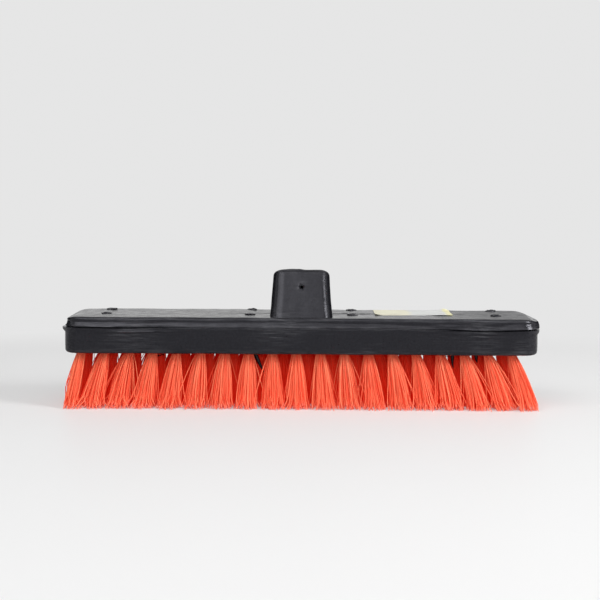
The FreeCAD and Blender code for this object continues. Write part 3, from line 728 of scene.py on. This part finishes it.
smooth = add(tuft_tree, "GeometryNodeSetShadeSmooth", {"Geometry": filaments.outputs[0]})
end_tree(tuft_tree, smooth.outputs[0], tuft_in["Material"])

filament_radius = 0.00026
stray_room = Vector((-0.0012, 0.002, 0))
# Painted shade: the three inner rows are made darker than the outer two, as if shaded between the rows.
row_painted_shade_lightness = (1, 0.22, 0.18, 0.22, 1)
for index, row in enumerate(rows):
    roots = row_points(index, f"{row}_roots")
    grow(roots, tuft_tree, {
        "Filaments": 116, "Root radius": hole_radius - filament_radius, "Root depth": 0.004,
        "Filament radius": filament_radius, "Points": 11, "Bow": 0.0007, "Droop": 0.04, "Bulge": 0.0005, "Tip scatter": 0.0010,
        "Tip curl": 0.0022, "Trim": 0.0035, "Frayed from": -0.14, "Frayed to": -0.05, "Stray share": 0.09, "Stray reach": 0.95,
        "Painted shade lightness": row_painted_shade_lightness[index], "Field low": field_low - stray_room,
        "Field high": field_high + stray_room, "Seed": 11 * (index + 1), "Material": coral})
    bristles = plain_mesh(roots, f"{row}_bristles")
    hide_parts(*row_nodes[row])
    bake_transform(bristles)

# Label: a blank paper sticker on the back right of the top, off-white, cream to the left, with a yellow end.
# It is glued down flat, apart from its front edge and its yellow back corner, which have begun to lift.
label_low, label_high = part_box("label")
label_steps = (60, 36)
label_lifts = (((label_low.x, label_low.y), 0.0007, 0.003), ((label_high.x - 0.0035, label_high.y), 0.0011, 0.0026),
               ((label_high.x - 0.006, label_low.y), 0.0003, 0.010))
paper_wave = 0.009
paper_wave_height = 0.0001
glue_gap = 0.00025


def label_paper():
    """Coated paper: off-white, cream towards one end and yellow at the other, with faint creases and grubby edges."""
    material = bpy.data.materials.new("label_paper")
    material.use_nodes = True
    tree = material.node_tree
    shader = tree.nodes["Principled BSDF"]
    place = add(tree, "ShaderNodeTexCoord").outputs["Object"]
    fibres = add(tree, "ShaderNodeTexNoise", {"Vector": place, "Scale": 500, "Detail": 5, "Roughness": 0.7})
    grime = add(tree, "ShaderNodeTexNoise", {"Vector": place, "Scale": 90, "Detail": 4})
    along = add(tree, "ShaderNodeSeparateXYZ", {0: place}).outputs["X"]
    uneven = add(tree, "ShaderNodeMath", {0: grime.outputs[0], 1: 0.006, 2: along}, operation="MULTIPLY_ADD").outputs[0]
    cream_end = label_low.x + 0.028
    cream = add(tree, "ShaderNodeMapRange", {"Value": uneven, "From Min": cream_end, "From Max": cream_end - 0.004})
    yellow_start = label_high.x - 0.0015
    yellow = add(tree, "ShaderNodeMapRange", {"Value": uneven, "From Min": yellow_start, "From Max": yellow_start + 0.002})
    paper = add(tree, "ShaderNodeMix", {0: cream.outputs[0], 6: (0.68, 0.69, 0.67, 1), 7: (0.78, 0.75, 0.58, 1)},
                data_type="RGBA")
    ended = add(tree, "ShaderNodeMix", {0: yellow.outputs[0], 6: paper.outputs[2], 7: (0.82, 0.78, 0.46, 1)},
                data_type="RGBA")
    dirt = add(tree, "ShaderNodeMapRange", {"Value": grime.outputs[0], "From Min": 0.52, "From Max": 0.8, "To Max": 0.3})
    colour = add(tree, "ShaderNodeMix", {0: dirt.outputs[0], 6: ended.outputs[2], 7: (0.35, 0.31, 0.25, 1)},
                 data_type="RGBA")
    tree.links.new(colour.outputs[2], shader.inputs["Base Color"])
    roughness = add(tree, "ShaderNodeMapRange", {"Value": fibres.outputs[0], "To Min": 0.4, "To Max": 0.65})
    tree.links.new(roughness.outputs[0], shader.inputs["Roughness"])
    relief = add(tree, "ShaderNodeBump", {"Height": fibres.outputs[0], "Strength": 0.25, "Distance": 0.0002})
    tree.links.new(relief.outputs[0], shader.inputs["Normal"])
    return material


paper_mesh = bmesh.new()
bmesh.ops.create_grid(paper_mesh, x_segments=label_steps[0], y_segments=label_steps[1], size=0.5)
for vertex in paper_mesh.verts:
    x = label_low.x + (vertex.co.x + 0.5) * (label_high.x - label_low.x)
    y = label_low.y + (vertex.co.y + 0.5) * (label_high.y - label_low.y)
    wave = paper_wave_height * noise.noise(Vector((x, y, 0)) / paper_wave)
    vertex.co = (x, y, top + glue_gap + wave + bumps(Vector((x, y)), label_lifts))
paper_data = bpy.data.meshes.new("label_sheet")
paper_mesh.to_mesh(paper_data)
paper_mesh.free()
sheet = linked("label_maker", paper_data)
thick = sheet.modifiers.new("paper", "SOLIDIFY")
thick.thickness = label_high.z - label_low.z
thick.offset = -1
label = plain_mesh(sheet, "label_sheet")
label.data.materials.append(label_paper())
label.data.shade_smooth()
label.data.set_sharp_from_angle(angle=math.radians(40))
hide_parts("label")
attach(label, "block")

# Studio: a pale floor that runs into a grey backdrop, even light from all round, and four soft boxes.
# The long box stands above the camera, and the narrow one at the right draws a bright line down the socket.
floor_mesh = bmesh.new()
bmesh.ops.create_circle(floor_mesh, cap_ends=True, segments=96, radius=12)
floor_data = bpy.data.meshes.new("floor")
floor_mesh.to_mesh(floor_data)
floor_mesh.free()
floor = linked("floor", floor_data)
pale = bpy.data.materials.new("pale_floor")
pale.use_nodes = True
tree = pale.node_tree
shader = tree.nodes["Principled BSDF"]
place = add(tree, "ShaderNodeTexCoord").outputs["Object"]
pool_middle = (0, -0.30, 0)
backdrop_grey = (0.79, 0.79, 0.79, 1)
from_pool = add(tree, "ShaderNodeVectorMath", {0: place, 1: pool_middle}, operation="DISTANCE")
pool_edge = add(tree, "ShaderNodeMapRange", {"Value": from_pool.outputs["Value"], "From Min": 0.58, "From Max": 0.74},
                interpolation_type="SMOOTHSTEP")
shader.inputs["Base Color"].default_value = (0.55, 0.55, 0.55, 1)
lit_table = add(tree, "ShaderNodeLightPath").outputs["Is Camera Ray"]
glow = add(tree, "ShaderNodeMath", {0: lit_table, 1: 0.26}, operation="MULTIPLY")
tree.links.new(glow.outputs[0], shader.inputs["Emission Strength"])
shader.inputs["Emission Color"].default_value = (1, 1, 1, 1)
shader.inputs["Roughness"].default_value = 0.5
shader.inputs["Specular IOR Level"].default_value = 0.1
far = add(tree, "ShaderNodeEmission", {"Color": backdrop_grey})
merged = add(tree, "ShaderNodeMixShader", {0: pool_edge.outputs[0], 1: shader.outputs[0], 2: far.outputs[0]})
tree.links.new(merged.outputs[0], tree.nodes["Material Output"].inputs["Surface"])
floor_data.materials.append(pale)

card_black = bpy.data.materials.new("black_card")
card_black.use_nodes = True
card_black.node_tree.nodes["Principled BSDF"].inputs["Base Color"].default_value = (0.01, 0.01, 0.012, 1)
card_black.node_tree.nodes["Principled BSDF"].inputs["Specular IOR Level"].default_value = 0
card_distance = 0.62
card_back = (0.12, 1.6)
card_top = 0.7
for name, side in (("left_card", -1), ("right_card", 1)):
    card_data = bpy.data.meshes.new(name)
    card_data.from_pydata([(side * card_distance, y, z) for y, z in (
        (card_back[0], 0), (card_back[1], 0), (card_back[1], card_top), (card_back[0], card_top))], [], [(0, 1, 2, 3)])
    card_data.materials.append(card_black)
    card = linked(name, card_data)
    card.visible_camera = False
    card.visible_diffuse = False
    card.visible_shadow = False

world = bpy.data.worlds.new("studio")
bpy.context.scene.world = world
world.use_nodes = True
tree = world.node_tree
rays = add(tree, "ShaderNodeLightPath").outputs
seen = add(tree, "ShaderNodeMath", {0: rays["Is Camera Ray"], 1: rays["Is Glossy Ray"]}, operation="MAXIMUM")
seen = add(tree, "ShaderNodeMath", {0: seen.outputs[0], 1: rays["Is Transmission Ray"]}, operation="MAXIMUM")
backdrop = tree.nodes["Background"]
backdrop.inputs["Color"].default_value = backdrop_grey
fill = add(tree, "ShaderNodeBackground", {"Color": (1, 1, 1, 1), "Strength": 0.30})
either = add(tree, "ShaderNodeMixShader", {0: seen.outputs[0], 1: fill.outputs[0], 2: backdrop.outputs[0]})
tree.links.new(either.outputs[0], tree.nodes["World Output"].inputs["Surface"])


def soft_box(name, place, aim, width, height, power):
    """A rectangular lamp that faces a point."""
    lamp = bpy.data.lights.new(name, "AREA")
    lamp.shape = "RECTANGLE"
    lamp.size = width
    lamp.size_y = height
    lamp.energy = power
    made = linked(name, lamp)
    made.location = place
    made.rotation_euler = (Vector(aim) - Vector(place)).to_track_quat("-Z", "Y").to_euler()


lamp_aim = (0, 0, 0.04)
soft_box("front_box", (-0.1, -1.4, 1.7), lamp_aim, 2.4, 1.2, 9.6)
soft_box("low_box", (0, -2.2, 0.8), lamp_aim, 2.0, 0.8, 7.6)
soft_box("left_box", (-0.80, -0.95, 1.16), lamp_aim, 1.4, 0.8, 9)
soft_box("right_box", (1.17, -0.67, 0.70), lamp_aim, 0.55, 0.6, 17)

# Camera: a metre in front of the brush and a little above it, with a long lens.
camera_data = bpy.data.cameras.new("camera")
camera_data.lens = 94.85
camera = linked("camera", camera_data)
camera.location = (-0.0016, -1.030, 0.168)
camera.rotation_euler = (math.radians(90 - 5.54), math.radians(-0.36), 0)
bpy.context.scene.camera = camera
bpy.context.scene.view_settings.view_transform = "Standard"
